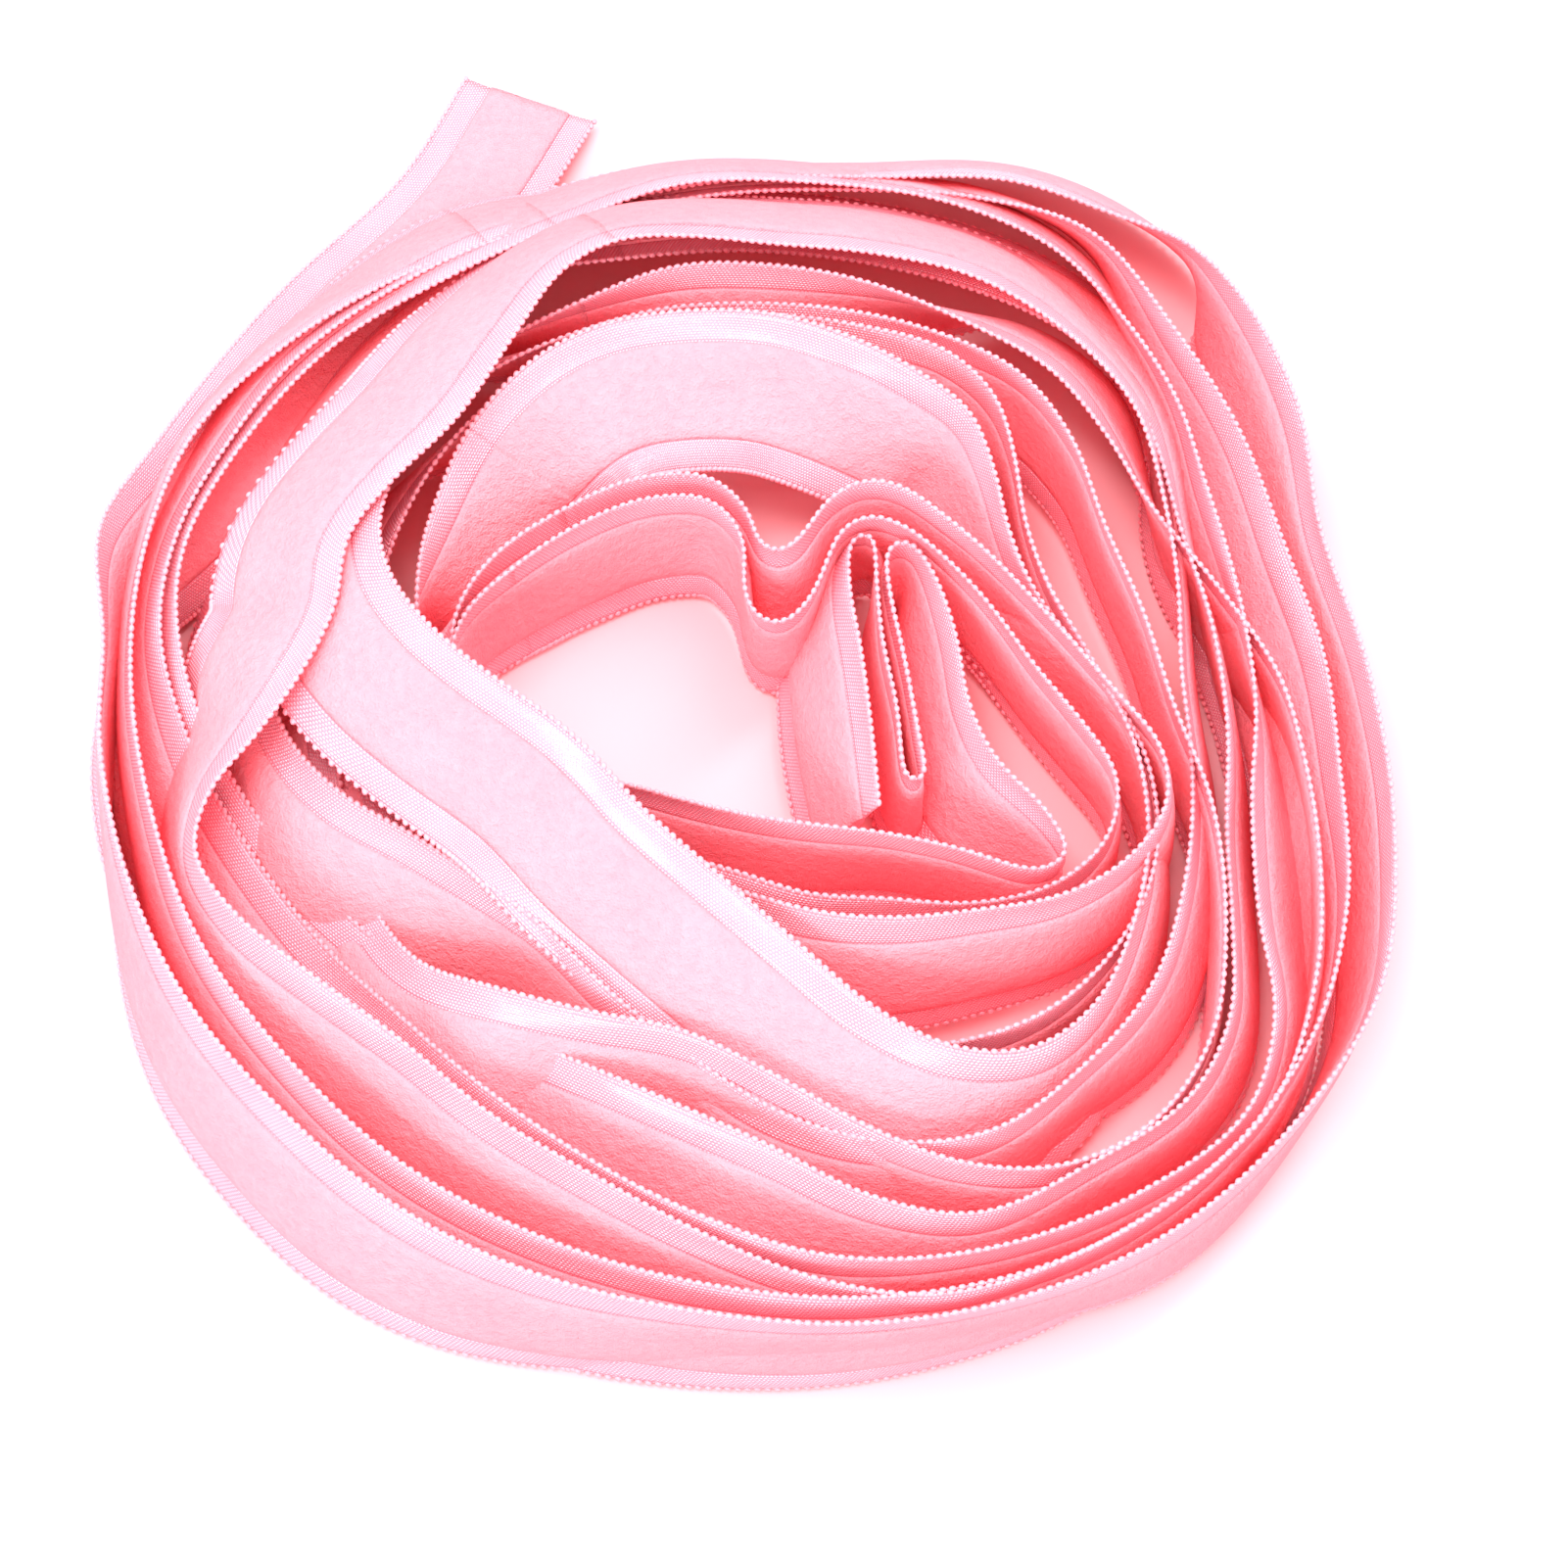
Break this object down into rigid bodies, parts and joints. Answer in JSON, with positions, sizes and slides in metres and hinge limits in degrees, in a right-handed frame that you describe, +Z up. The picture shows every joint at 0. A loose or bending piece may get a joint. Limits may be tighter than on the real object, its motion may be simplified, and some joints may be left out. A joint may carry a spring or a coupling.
{
  "type": "coiled velvet ribbon",
  "caption": "Long pink velvet ribbon with satin borders and beaded picot edges, wound by hand into a loose nest of leaning turns with one free cut end.",
  "frame": {"origin": "centre of the coil's outline at the height of the table it lies on", "axes": "+Z up from the table; +X to the right and +Y to the back, the free end lying at the back left"},
  "size_m": [0.1918, 0.2238, 0.035],
  "materials": {
    "velvet": "soft matt pile on both faces",
    "satin": "glossy twill satin",
    "picot": "tight beaded selvedge"
  },
  "bodies": {
    "root": {"velvet_band_turn_01": "velvet", "velvet_band_turn_02": "velvet", "velvet_band_turn_03": "velvet", "velvet_band_turn_04": "velvet", "velvet_band_turn_05": "velvet", "velvet_band_turn_06": "velvet", "velvet_band_turn_07": "velvet", "velvet_band_turn_08": "velvet", "velvet_band_turn_09": "velvet", "velvet_band_turn_10": "velvet", "velvet_band_turn_11": "velvet", "velvet_band_turn_12": "velvet", "satin_borders_turn_01": "satin", "satin_borders_turn_02": "satin", "satin_borders_turn_03": "satin", "satin_borders_turn_04": "satin", "satin_borders_turn_05": "satin", "satin_borders_turn_06": "satin", "satin_borders_turn_07": "satin", "satin_borders_turn_08": "satin", "satin_borders_turn_09": "satin", "satin_borders_turn_10": "satin", "satin_borders_turn_11": "satin", "satin_borders_turn_12": "satin", "picot_selvedges_turn_01": "picot", "picot_selvedges_turn_02": "picot", "picot_selvedges_turn_03": "picot", "picot_selvedges_turn_04": "picot", "picot_selvedges_turn_05": "picot", "picot_selvedges_turn_06": "picot", "picot_selvedges_turn_07": "picot", "picot_selvedges_turn_08": "picot", "picot_selvedges_turn_09": "picot", "picot_selvedges_turn_10": "picot", "picot_selvedges_turn_11": "picot", "picot_selvedges_turn_12": "picot"}
  },
  "joints": []
}
